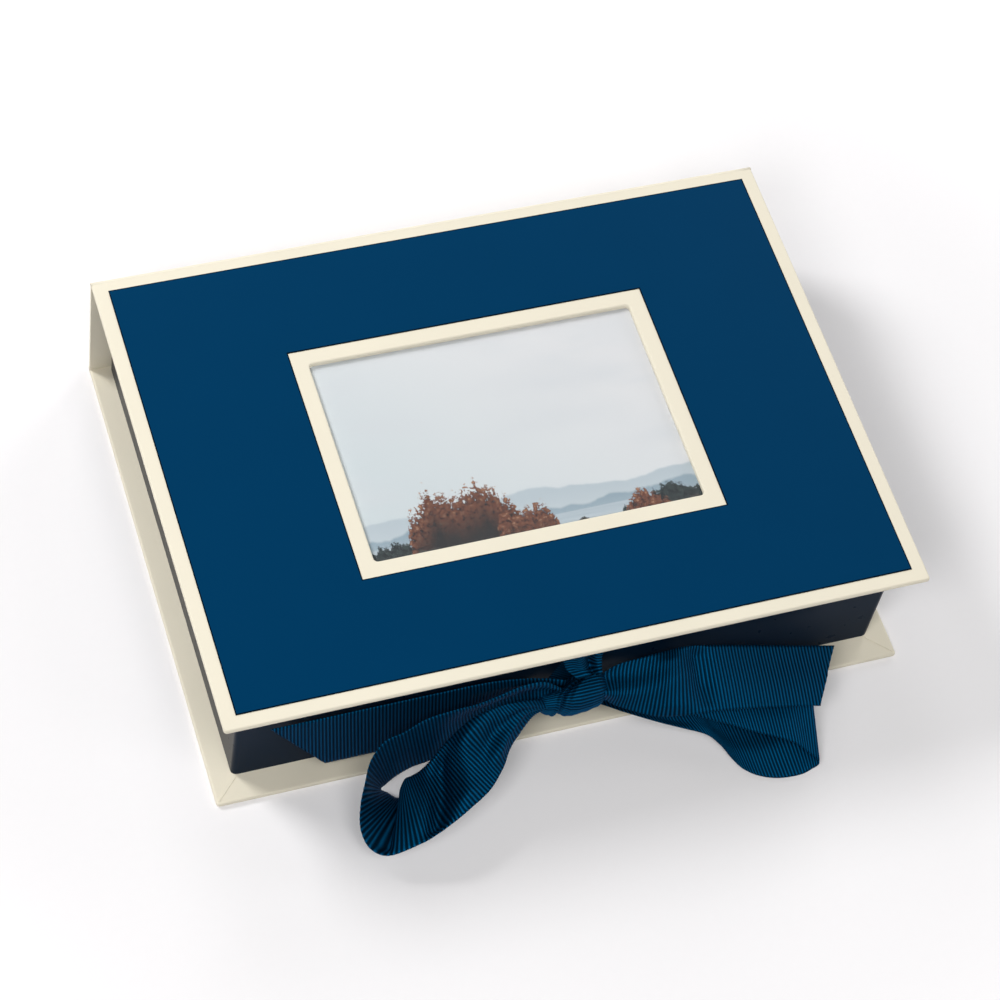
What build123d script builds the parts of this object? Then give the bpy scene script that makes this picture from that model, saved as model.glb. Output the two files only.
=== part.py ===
from build123d import *
import os

# Photo storage box: a cloth-bound style case of greyboard and paper. The lid, spine and base share
# one cover, an open tray is glued to the base and the spine, and a ribbon bow ties the front.
# Millimetres. X to the right, Y to the back, Z up. Origin: centre of the base's underside.

# ---- sizes that can be set by themselves ----
case_long = 255.0           # outside length, left to right
case_deep = 188.0           # outside depth, front to back
case_high = 55.0            # outside height, lid closed
board = 1.5                 # greyboard of the lid, spine and base
paper = 0.25                # cover, wrap and lining paper
turn_in = 15.0              # cover paper folded onto a board's other face
edge_radius = 0.8           # soft edge of a covered board
corner_radius = 1.2         # covered board's corner, seen from above

tray_side_inset = 7.75      # base left bare beside the tray
tray_front_inset = 10.0     # base left bare in front of the tray
tray_floor_board = 1.5
tray_wall_board = 2.0
tray_corner_radius = 2.0    # tray's upright outer corners
rim_radius = 0.2            # soft edge of the tray's rim
lid_rest_gap = 0.2          # lid's underside over the tray's rim

panel_side_margin = 5.25    # cream left round the lid's panel, left and right
panel_front_margin = 5.25
panel_back_margin = 5.75
frame_border = 6.1          # cream frame between the panel's hole and the window

print_long = 127.0          # standard 5 x 3.5 inch print
print_short = 89.0
print_thick = 0.25
window_lap_long = 2.75      # window's edge over the print, each short side
window_lap_short = 2.5      # window's edge over the print, each long side
window_corner = 1.5         # radius of the window's corners
film = 0.25
film_lap = 4.75             # film's margin round the window
pocket_side_play = 0.5      # room round the print in its pocket
pocket_rail = 6.0           # width of the pocket's spacer
pocket_lip = 2.5            # pocket's card past the print at the open side
spacer_thick = 0.4
card_thick = 0.5
print_card_gap = 0.1        # print over the card
thumb_radius = 10.0         # half-round notch for the thumb

ribbon_wide = 25.0
ribbon_thick = 0.5
ribbon_tongue = 14.0        # glued length of a ribbon's end
strap_clear = 0.35          # lid's ribbon over the knot

bow_left = -10.5            # knot's left end
bow_right = 10.8            # knot's right end
knot_low = 14.5             # knot's lowest point
knot_high = 33.0            # knot's highest point
knot_out = 14.5             # knot's reach in front of the base's ribbon

# ---- positions that follow ----
half_long = case_long / 2
front = -case_deep / 2
back = case_deep / 2
cover = board + 2 * paper                 # a covered and lined board
spine_in = back - cover                   # spine's inner face
lid_low = case_high - cover               # lid's underside
tray_half = half_long - tray_side_inset
tray_front = front + tray_front_inset
tray_top = lid_low - lid_rest_gap
panel_y = (panel_front_margin - panel_back_margin) / 2
window_long = print_long - 2 * window_lap_long
window_short = print_short - 2 * window_lap_short
panel_top = case_high + paper
spacer_low = lid_low - spacer_thick
card_low = spacer_low - card_thick
print_low = spacer_low + print_card_gap
ribbon_face = tray_front - ribbon_thick   # front of the base's ribbon against the tray

os.makedirs("parts", exist_ok=True)


def block(x, y, z):
    """Box between pairs of limits."""
    box = Box(x[1] - x[0], y[1] - y[0], z[1] - z[0])
    return Pos((x[0] + x[1]) / 2, (y[0] + y[1]) / 2, (z[0] + z[1]) / 2) * box


def sides(half):
    """Limits of a width that is centred on the box."""
    return -half, half


def soft_slab(x, y, z, edge, corner):
    """Slab with its left, right and front sides softly rounded and its back side square."""
    slab = block(x, y, z)
    uprights = slab.edges().filter_by(Axis.Z).group_by(Axis.Y)[0]
    slab = fillet(uprights, corner)
    rims = [
        rim
        for rim in slab.edges()
        if abs(rim.position_at(0).Z - rim.position_at(1).Z) < 0.001
        and rim.center().Y < y[1] - 0.001
    ]
    return fillet(rims, edge)


def rounded_prism(x, y, z, radius):
    """Prism with rounded upright corners between pairs of limits."""
    plan = RectangleRounded(x[1] - x[0], y[1] - y[0], radius)
    return Pos((x[0] + x[1]) / 2, (y[0] + y[1]) / 2, z[0]) * extrude(plan, amount=z[1] - z[0])


def window_prism(grow, z, radius):
    """Prism on the window's centre, grown by one margin all round."""
    half_x = window_long / 2 + grow
    half_y = window_short / 2 + grow
    return rounded_prism(sides(half_x), (panel_y - half_y, panel_y + half_y), z, radius)


def fold(low, radius, thick):
    """Paper round a quarter turn at the back, from a slab's face to the spine's face."""
    ring = Cylinder(radius, case_long) - Cylinder(radius - thick, case_long)
    ring = Rot(0, 90, 0) * ring
    quarter = block(sides(half_long), (0, radius), (0, radius))
    ring = ring & quarter
    if low:
        ring = mirror(ring, Plane.XY)
    return ring


def smooth(points, steps):
    """Even curve through the points, as points."""
    ends = [2 * points[0] - points[1]] + points + [2 * points[-1] - points[-2]]
    curve = []
    for i in range(1, len(ends) - 2):
        p0, p1, p2, p3 = ends[i - 1 : i + 3]
        for step in range(steps):
            t = step / steps
            bend = 2 * p0 - 5 * p1 + 4 * p2 - p3
            twist = 3 * p1 - p0 - 3 * p2 + p3
            curve.append(p1 + (p2 - p0) * (t / 2) + bend * (t * t / 2) + twist * (t**3 / 2))
    curve.append(points[-1])
    return curve


def ribbon_point(along, out, up):
    """Point of the ribbon, by its distance out from the tray's front."""
    return Vector(along, tray_front - out, up)


def ribbon(stations, steps=3):
    """Ribbon of narrow flat facets that follow the lines across it, from one edge to the other."""
    first = smooth([ribbon_point(*pair[0]) for pair in stations], steps)
    second = smooth([ribbon_point(*pair[1]) for pair in stations], steps)
    last = len(first) - 1
    rings = []
    for i in range(last + 1):
        before = max(i - 1, 0)
        after = min(i + 1, last)
        along = first[after] + second[after] - first[before] - second[before]
        across = second[i] - first[i]
        if i in (0, last) and abs(first[i].X - second[i].X) < 0.001:
            along = Vector(1 if along.X > 0 else -1, 0, 0)
        rise = along.cross(across).normalized() * (ribbon_thick / 2)
        rings.append([first[i] + rise, second[i] + rise, second[i] - rise, first[i] - rise])
    faces = [Face(Wire.make_polygon(ring, close=True)) for ring in (rings[0], rings[-1])]
    for near, far in zip(rings, rings[1:]):
        for k in range(4):
            n = (k + 1) % 4
            if k == 2:
                halves = [(near[k], near[n], far[k]), (near[n], far[n], far[k])]
            else:
                halves = [(near[k], near[n], far[n]), (near[k], far[n], far[k])]
            faces += [Face(Wire.make_polygon(half, close=True)) for half in halves]
    return Solid(Shell(faces))


nodes = {}

# ---- base ----
base_x = sides(half_long)
nodes["base_board"] = soft_slab(
    sides(half_long - paper),
    (front + paper, spine_in),
    (paper, paper + board),
    edge_radius - paper,
    corner_radius - paper,
)
nodes["base_lining"] = block(
    sides(half_long - turn_in), (front + turn_in, spine_in), (paper + board, cover)
)
base_outside = soft_slab(base_x, (front, spine_in), (0, cover), edge_radius, corner_radius)
nodes["base_cover_paper"] = base_outside - nodes["base_board"] - nodes["base_lining"]
nodes["base_fold_paper"] = Pos(0, spine_in, cover) * fold(True, cover, paper)

# ---- spine ----
spine_z = (cover, lid_low)


def spine_slab(inset, radius):
    """Upright slab of the spine with its back edges rounded."""
    slab = block(sides(half_long - inset), (spine_in + inset, back - inset), spine_z)
    return fillet(slab.edges().filter_by(Axis.Z).group_by(Axis.Y)[-1], radius)


nodes["spine_board"] = spine_slab(paper, edge_radius - paper)
nodes["spine_lining"] = block(sides(half_long - turn_in), (spine_in, spine_in + paper), spine_z)
spine_outside = spine_slab(0, edge_radius)
nodes["spine_cover_paper"] = spine_outside - nodes["spine_board"] - nodes["spine_lining"]

# ---- tray ----
tray_x = sides(tray_half)
tray_y = (tray_front, spine_in)
board_x = sides(tray_half - paper)
board_y = (tray_front + paper, spine_in - paper)
wall_low = cover + tray_floor_board
wall_high = tray_top - paper
board_corner = tray_corner_radius - paper
well_x = sides(tray_half - paper - tray_wall_board)
well_y = (board_y[0] + tray_wall_board, board_y[1] - tray_wall_board)
tongue_x = sides(ribbon_wide / 2)
tongue_z = (cover, cover + ribbon_thick)
tongue_seat = block(tongue_x, (tray_front, tray_front + ribbon_tongue), tongue_z)

tray_floor_slab = rounded_prism(board_x, board_y, (cover, wall_low), board_corner)
nodes["tray_floor"] = tray_floor_slab - tongue_seat
walls = rounded_prism(board_x, board_y, (wall_low, wall_high), board_corner)
walls = walls - block(well_x, well_y, (wall_low, wall_high))
wall_limits = {
    "tray_front_wall": (board_x, (board_y[0], well_y[0])),
    "tray_back_wall": (board_x, (well_y[1], board_y[1])),
    "tray_left_wall": ((board_x[0], well_x[0]), well_y),
    "tray_right_wall": ((well_x[1], board_x[1]), well_y),
}
for name, (wall_x, wall_y) in wall_limits.items():
    nodes[name] = walls & block(wall_x, wall_y, (wall_low, wall_high))
inner_x = (well_x[0] + paper, well_x[1] - paper)
inner_y = (well_y[0] + paper, well_y[1] - paper)
nodes["tray_floor_lining"] = block(inner_x, inner_y, (wall_low, wall_low + paper))
wrap = rounded_prism(tray_x, tray_y, (cover, tray_top), tray_corner_radius)
wrap = wrap - rounded_prism(board_x, board_y, (cover, wall_low), board_corner)
wrap = wrap - block(inner_x, inner_y, (wall_low, tray_top))
wrap = fillet(wrap.edges().group_by(Axis.Z)[-1], rim_radius)
nodes["tray_wrap_paper"] = wrap - walls - tongue_seat

# ---- lid ----
window_z = (lid_low - 1, case_high + 1)
strap_x = (-8.0, -8.0 + ribbon_wide)
strap_out = 2.0             # lid's ribbon in front of the tray
strap_y = tray_front - strap_out
strap_slit = block(
    strap_x, (strap_y - ribbon_thick / 2, strap_y + ribbon_thick / 2), (lid_low, lid_low + paper)
)
strap_seat = block(
    strap_x,
    (strap_y - ribbon_thick / 2, strap_y + ribbon_tongue),
    (lid_low + paper, lid_low + paper + ribbon_thick),
)
lid_board = soft_slab(
    sides(half_long - paper),
    (front + paper, spine_in),
    (lid_low + paper, case_high - paper),
    edge_radius - paper,
    corner_radius - paper,
)
lid_board = lid_board - window_prism(paper, window_z, window_corner + paper)


def window_rim(lid):
    """Edges round the window on top of the lid."""
    top = lid.edges().group_by(Axis.Z)[-1]
    reach = window_long / 2 + 2 * paper
    return [rim for rim in top if abs(rim.center().X) < reach and abs(rim.center().Y) < reach]


lid_board = fillet(window_rim(lid_board), edge_radius - paper)
nodes["lid_board"] = lid_board - strap_seat
lining_y = (front + turn_in, spine_in)
lid_lining = block(sides(half_long - turn_in), lining_y, (lid_low, lid_low + paper))
film_space = window_prism(film_lap, (lid_low, lid_low + paper), window_corner)
nodes["lid_lining"] = lid_lining - film_space
nodes["window_film"] = window_prism(film_lap, (lid_low, lid_low + film), window_corner)
lid_paper = soft_slab(base_x, (front, spine_in), (lid_low, case_high), edge_radius, corner_radius)
lid_paper = lid_paper - window_prism(0, window_z, window_corner)
lid_paper = fillet(window_rim(lid_paper), edge_radius)
lid_paper = lid_paper - lid_board - lid_lining - strap_slit
nodes["lid_cover_paper"] = lid_paper
panel = block(
    sides(half_long - panel_side_margin),
    (front + panel_front_margin, back - panel_back_margin),
    (case_high, panel_top),
)
nodes["lid_panel"] = panel - window_prism(
    frame_border, (case_high, panel_top), window_corner
)

# ---- pocket and print under the window ----
print_x = sides(print_long / 2)
print_y = (panel_y - print_short / 2, panel_y + print_short / 2)
pocket_in_x = print_x[0] - pocket_side_play
pocket_in_y = (print_y[0] - pocket_side_play, print_y[1] + pocket_side_play)
pocket_x = (pocket_in_x - pocket_rail, print_x[1] + pocket_lip)
pocket_y = (pocket_in_y[0] - pocket_rail, pocket_in_y[1] + pocket_rail)
spacer = block(pocket_x, pocket_y, (spacer_low, lid_low))
nodes["pocket_spacer"] = spacer - block(
    (pocket_in_x, pocket_x[1]), pocket_in_y, (spacer_low, lid_low)
)
card = block(pocket_x, pocket_y, (card_low, spacer_low))
thumb = Pos(pocket_x[1], panel_y, (card_low + spacer_low) / 2) * Cylinder(thumb_radius, card_thick)
nodes["pocket_card"] = card - thumb
nodes["photo_print"] = block(print_x, print_y, (print_low, print_low + print_thick))

# ---- hinge ----
nodes["hinge_paper"] = Pos(0, spine_in, lid_low) * fold(False, cover, paper)
nodes["hinge_liner"] = Pos(0, spine_in, lid_low) * fold(False, cover - paper, paper)

# ---- ribbon ends ----
tongue = block(tongue_x, (ribbon_face, tray_front + ribbon_tongue), tongue_z)
upright_low = Pos(0, 0, cover) * Rectangle(ribbon_wide, ribbon_thick)
upright_mid = Pos(0, 0, knot_low) * Rectangle(ribbon_wide - 6, ribbon_thick)
upright_top = Pos(0, 0, knot_high + 2) * Rectangle(ribbon_wide - 10, ribbon_thick)
upright = loft([upright_low, upright_mid, upright_top], ruled=True)
nodes["base_ribbon"] = tongue + Pos(0, tray_front - ribbon_thick / 2, 0) * upright

strap_foot = knot_high + strap_clear
strap_stations = [
    ((strap_x[0], strap_out, lid_low), (strap_x[1], strap_out, lid_low)),
    ((strap_x[0] + 2.0, strap_out + 0.3, lid_low - 7), (strap_x[1] - 0.5, strap_out + 0.3, lid_low - 7)),
    ((strap_x[0] + 6.0, strap_out + 1.5, lid_low - 14), (strap_x[1] - 3.0, strap_out + 1.5, lid_low - 14)),
    ((strap_x[0] + 9.0, strap_out + 3.5, strap_foot), (strap_x[1] - 6.0, strap_out + 3.5, strap_foot)),
]
strap_tongue = block(
    strap_x,
    (strap_y - ribbon_thick / 2, strap_y + ribbon_tongue),
    (lid_low + paper, lid_low + paper + ribbon_thick),
)
nodes["lid_ribbon"] = ribbon(strap_stations) + strap_slit + strap_tongue

# ---- bow: the knot ----
# Wrapped barrel of two lobes: a small one on the left and the main one, with a crease between.
# Each line: how far along the knot, then the section's depth and height as parts of the full ones.
knot_sections = [
    (0.00, 0.78, 0.86),
    (0.18, 0.86, 0.94),
    (0.34, 0.74, 0.82),
    (0.56, 0.98, 1.00),
    (0.84, 0.96, 0.97),
    (1.00, 0.84, 0.88),
]
knot_full = knot_high - knot_low
knot_mid = (knot_high + knot_low) / 2
sections = []
for along, depth_part, height_part in knot_sections:
    depth = knot_out * depth_part
    height = knot_full * height_part
    place = Plane(
        origin=(bow_left + (bow_right - bow_left) * along, ribbon_face - depth / 2, knot_mid),
        x_dir=(0, 1, 0),
        z_dir=(1, 0, 0),
    )
    sections.append(place * RectangleRounded(depth, height, 0.4 * depth))
nodes["bow_knot"] = loft(sections, ruled=True)

# ---- bow: loops and tails ----
# Each line crosses the ribbon from one edge to the other. A point is its place along the box, its
# distance out from the tray's front and its height.
left_tail = [
    ((bow_left, 4.0, 30.0), (bow_left, 3.5, 19.0)),
    ((-20.0, 3.0, 34.0), (-18.5, 3.5, 17.0)),
    ((-31.0, 2.5, 35.0), (-29.5, 4.5, 13.5)),
    ((-45.0, 2.5, 35.0), (-44.0, 7.0, 10.0)),
    ((-63.0, 2.5, 35.0), (-62.0, 7.0, 10.0)),
    ((-81.0, 2.5, 35.0), (-80.0, 7.0, 10.0)),
    ((-108.5, 2.5, 35.0), (-89.5, 7.0, 10.0)),
]
left_loop = [
    ((bow_left, 7.5, 31.0), (bow_left, 6.0, 22.0)),
    ((-24.9, 8.3, 33.6), (-23.4, 6.4, 20.8)),
    ((-35.0, 10.5, 34.2), (-33.6, 7.4, 17.6)),
    ((-45.3, 10.1, 35.3), (-42.7, 10.8, 14.4)),
    ((-55.9, 11.1, 34.8), (-51.7, 14.9, 11.5)),
    ((-64.8, 13.8, 34.0), (-60.0, 15.4, 9.5)),
    ((-71.6, 14.9, 32.6), (-66.2, 17.1, 8.7)),
    ((-77.5, 19.0, 29.0), (-69.5, 17.5, 5.0)),
    ((-80.8, 24.6, 24.6), (-71.2, 17.9, 2.9)),
    ((-83.7, 30.5, 19.7), (-69.2, 19.6, 2.3)),
    ((-84.8, 36.5, 14.0), (-67.2, 22.5, 3.2)),
    ((-82.7, 42.5, 10.3), (-66.0, 24.2, 6.4)),
    ((-77.0, 46.4, 10.3), (-66.8, 23.6, 10.6)),
    ((-66.9, 46.6, 14.2), (-64.9, 21.7, 14.5)),
    ((-58.6, 44.8, 16.7), (-61.8, 20.3, 13.0)),
    ((-50.3, 41.2, 18.1), (-57.8, 18.3, 11.5)),
    ((-41.2, 36.6, 18.6), (-53.5, 16.5, 14.6)),
    ((-34.0, 31.0, 19.5), (-48.6, 14.5, 21.0)),
    ((-30.0, 25.0, 21.5), (-41.6, 13.3, 30.2)),
    ((-25.3, 19.5, 21.0), (-33.1, 11.6, 32.1)),
    ((-19.3, 15.2, 21.0), (-24.9, 11.1, 31.7)),
    ((bow_left, 11.0, 17.0), (bow_left, 9.5, 26.0)),
]
right_tail = [
    ((bow_right, 6.5, 30.0), (bow_right, 13.0, 24.0)),
    ((16.9, 4.5, 30.8), (12.8, 15.0, 21.8)),
    ((25.4, 4.0, 31.2), (19.0, 18.0, 20.0)),
    ((33.8, 4.0, 32.3), (28.5, 22.0, 19.0)),
    ((40.9, 4.0, 32.6), (40.5, 25.0, 21.0)),
    ((50.0, 4.0, 29.9), (51.4, 25.5, 20.0)),
    ((67.9, 5.0, 24.3), (68.6, 27.3, 18.0)),
    ((85.8, 7.0, 20.0), (86.0, 29.5, 15.5)),
    ((99.5, 8.5, 17.0), (87.0, 29.8, 14.0)),
]
right_loop = [
    ((bow_right, 4.5, 19.5), (bow_right, 10.3, 15.0)),
    ((17.0, 4.5, 20.0), (20.0, 14.9, 12.1)),
    ((25.0, 5.0, 17.0), (30.7, 19.6, 9.0)),
    ((32.0, 4.5, 14.5), (39.2, 22.5, 6.2)),
    ((38.0, 5.5, 13.0), (47.0, 25.7, 4.1)),
    ((43.0, 8.0, 11.0), (51.2, 30.0, 2.2)),
    ((48.0, 13.0, 8.0), (53.8, 35.6, 1.1)),
    ((52.0, 16.5, 6.0), (56.5, 40.4, 0.9)),
    ((59.0, 20.0, 6.5), (61.2, 44.4, 0.9)),
    ((66.0, 23.0, 7.0), (68.0, 47.0, 1.0)),
    ((74.0, 24.0, 9.0), (75.5, 47.8, 1.6)),
    ((80.5, 23.8, 10.6), (80.0, 47.0, 2.3)),
    ((84.5, 23.2, 11.7), (82.3, 46.4, 2.7)),
    ((86.4, 22.8, 13.2), (83.0, 45.8, 3.7)),
    ((85.4, 21.7, 14.7), (82.0, 44.7, 5.2)),
    ((82.0, 19.5, 15.5), (79.3, 42.5, 7.0)),
    ((77.0, 16.0, 17.0), (75.3, 39.2, 9.5)),
    ((69.0, 12.5, 17.5), (68.6, 35.4, 10.5)),
    ((60.0, 9.0, 19.0), (61.0, 31.5, 11.0)),
    ((50.0, 6.0, 21.0), (53.0, 27.5, 12.5)),
    ((40.0, 5.0, 23.0), (43.0, 23.0, 14.5)),
    ((27.0, 4.5, 24.0), (30.0, 17.5, 17.5)),
    ((17.5, 4.0, 25.0), (18.5, 12.5, 20.0)),
    ((bow_right, 4.0, 25.0), (bow_right, 10.0, 20.0)),
]
nodes["bow_left_tail"] = ribbon(left_tail)
nodes["bow_left_loop"] = ribbon(left_loop)
nodes["bow_right_tail"] = ribbon(right_tail)
nodes["bow_right_loop"] = ribbon(right_loop)

for name, shape in nodes.items():
    export_step(shape, f"parts/{name}.step")
    print(name, "volume", round(shape.volume, 1))
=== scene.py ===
import math

import bpy
from bpy.props import FloatProperty, FloatVectorProperty, IntProperty, PointerProperty
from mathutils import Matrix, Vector


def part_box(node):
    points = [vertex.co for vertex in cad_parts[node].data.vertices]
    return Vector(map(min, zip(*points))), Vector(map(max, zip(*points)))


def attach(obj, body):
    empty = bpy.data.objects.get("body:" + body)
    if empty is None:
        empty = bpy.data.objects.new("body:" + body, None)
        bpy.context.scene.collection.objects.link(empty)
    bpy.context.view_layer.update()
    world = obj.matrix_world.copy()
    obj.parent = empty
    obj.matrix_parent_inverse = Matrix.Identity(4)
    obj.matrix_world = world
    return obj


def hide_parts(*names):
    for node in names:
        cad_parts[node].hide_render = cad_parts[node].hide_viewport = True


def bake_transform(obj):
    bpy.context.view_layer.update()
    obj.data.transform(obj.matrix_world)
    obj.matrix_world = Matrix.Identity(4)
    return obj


bl_info = {
    "name": "Photo Storage Box",
    "version": (1, 0, 0),
    "blender": (4, 5, 0),
    "location": "View3D > Sidebar > Photo Box",
    "description": "Papers, picture window and ribbon bow of a hinged keepsake box for prints",
    "category": "Object",
}

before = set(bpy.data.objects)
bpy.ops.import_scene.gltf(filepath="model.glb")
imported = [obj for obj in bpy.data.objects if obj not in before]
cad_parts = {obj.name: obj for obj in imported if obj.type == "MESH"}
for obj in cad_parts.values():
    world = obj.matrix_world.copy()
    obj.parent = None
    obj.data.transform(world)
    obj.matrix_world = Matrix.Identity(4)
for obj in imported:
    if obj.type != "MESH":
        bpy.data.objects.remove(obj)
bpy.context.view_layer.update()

MM = 0.001
WHITE = (1.0, 1.0, 1.0)

# Where the ribbon starts from: the tray's front in metres, the others in millimetres
tray_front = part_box("tray_wrap_paper")[0][1]
lid_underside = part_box("lid_cover_paper")[0][2] / MM + 0.2
strap_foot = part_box("lid_ribbon")[0][2] / MM + 0.65

# Navy sheet on the lid: how deep and how wide its rolled edge is; the rolled edge is coloured
# nearly black as painted shade along the sheet's edges
PANEL_ROLL = 0.06 * MM
PANEL_RIM = 0.42 * MM

# Mitred laps: how far from the corner they start, how high they stand, their widths at both ends
LAP_START = 1.1 * MM
LAP_LIFT = 0.18 * MM
LAP_WIDTHS = (0.5 * MM, 1.8 * MM)

# Paper hinge: the paper's thickness, and the rows of faces round the bend and along the hinge
HINGE_PAPER = 0.25 * MM
HINGE_TURNS = 28
HINGE_LENGTHS = 24

# Ribbon meshes
CURVE_STEPS = 12  # points between one measured line and the next
LOOK_ROWS = 3  # rows before and after a row that give its direction
PLAIN_ROWS = 3  # rows without ribs at both ends
HEM = 0.5 * MM  # width of the thin hem at both edges
HEM_CALM = 3.5 * MM  # the folds fade out over this width at both edges
PLEAT_DEPTH = 1.1 * MM  # of a ribbon that is fully gathered
LEFT_CUT = 19 * MM
RIGHT_CUT = 10.5 * MM

# Knot: rows across it, room left to its solid, how far the small lobe goes on past the solid, how
# deep the middles of its ends lie, and how strongly and over what length the ends are rounded
KNOT_COLUMNS = 88
KNOT_ROOM = 0.2 * MM
KNOT_LOBE = 3.2 * MM
KNOT_HOLLOW = 0.6 * MM
KNOT_LEFT_ROUND = (0.40, 3.0 * MM)
KNOT_RIGHT_ROUND = (0.34, 3.6 * MM)

# Stage: lamps as name, turn and rise in degrees, and share of the key lamp's power
TABLE_REACH = 4.0
LAMP_AIM = Vector((0.0, -0.01, 0.03))
LAMP_DISTANCE = 1.35
LAMP_SIZE = 0.5
LAMPS = (
    ("key lamp", 135, 40, 1.0),
    ("back lamp", 88, 40, 0.22),
    ("back right lamp", 45, 22, 0.40),
    ("right lamp", 0, 18, 0.28),
    ("front left lamp", 225, 48, 0.58),
    ("front lamp", 266, 58, 0.38),
    ("front right lamp", 315, 40, 0.12),
)

# Camera: place in metres, turn in degrees, focal length and sensor in millimetres, and the nearest
# and the farthest it sees in metres
CAMERA_PLACE = (-0.28971, -0.54536, 0.95048)
CAMERA_TURN = (32.60197, -6.99590, -17.53221)
CAMERA_LENS = 110.626
CAMERA_SENSOR = 36.0
CAMERA_CLIP = (0.01, 100.0)


# ---- settings ----


class PaperSettings(bpy.types.PropertyGroup):
    """Colours of the papers and the boards"""

    cream: FloatVectorProperty(
        name="Cream cover paper",
        description="Colour of the cover paper and the linings",
        subtype="COLOR",
        size=3,
        default=(0.850, 0.790, 0.642),
    )
    panel: FloatVectorProperty(
        name="Panel paper",
        description="Colour of the sheet on the lid",
        subtype="COLOR",
        size=3,
        default=(0.0001, 0.037, 0.104),
    )
    wrap: FloatVectorProperty(
        name="Tray wrap",
        description="Colour of the paper round the tray's walls",
        subtype="COLOR",
        size=3,
        default=(0.0008, 0.0105, 0.028),
    )
    board: FloatVectorProperty(
        name="Greyboard",
        description="Colour of the boards' bare edges",
        subtype="COLOR",
        size=3,
        default=(0.23, 0.20, 0.165),
    )


class RibbonSettings(bpy.types.PropertyGroup):
    """Sizes and colour of the ribbon, and how fine its mesh is"""

    colour: FloatVectorProperty(
        name="Ribbon",
        description="Colour of the ribbon's ribs",
        subtype="COLOR",
        size=3,
        default=(0.0003, 0.031, 0.075),
    )
    width: FloatProperty(
        name="Width",
        description="Width of the ribbon when it lies flat",
        subtype="DISTANCE",
        unit="LENGTH",
        default=25.0 * MM,
    )
    thickness: FloatProperty(
        name="Thickness",
        description="Thickness of the ribbon between its ribs",
        subtype="DISTANCE",
        unit="LENGTH",
        default=0.32 * MM,
    )
    rib_pitch: FloatProperty(
        name="Rib pitch",
        description="Distance from one rib to the next along the ribbon",
        subtype="DISTANCE",
        unit="LENGTH",
        default=1.26 * MM,
    )
    rib_height: FloatProperty(
        name="Rib height",
        description="How far a rib stands up from the ground of the ribbon",
        subtype="DISTANCE",
        unit="LENGTH",
        default=0.16 * MM,
    )
    rows_per_rib: IntProperty(
        name="Rows in a rib",
        description="Rows of faces along each rib's round",
        default=6,
        min=4,
        max=12,
    )
    columns: IntProperty(
        name="Columns",
        description="Columns of faces across the ribbon",
        default=26,
        min=8,
        max=60,
    )


class StageSettings(bpy.types.PropertyGroup):
    """Light and table top"""

    key_power: FloatProperty(
        name="Key lamp",
        description="Power of the soft lamp at the back left; the others follow it",
        subtype="POWER",
        unit="POWER",
        default=10.4,
    )
    sky: FloatProperty(
        name="Room light",
        description="Strength of the even white light from all round",
        default=0.02,
        min=0.0,
        max=2.0,
    )
    floor: FloatVectorProperty(
        name="Floor",
        description="Colour of the table top",
        subtype="COLOR",
        size=3,
        default=(0.850, 0.834, 0.844),
    )


# ---- materials ----


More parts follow.
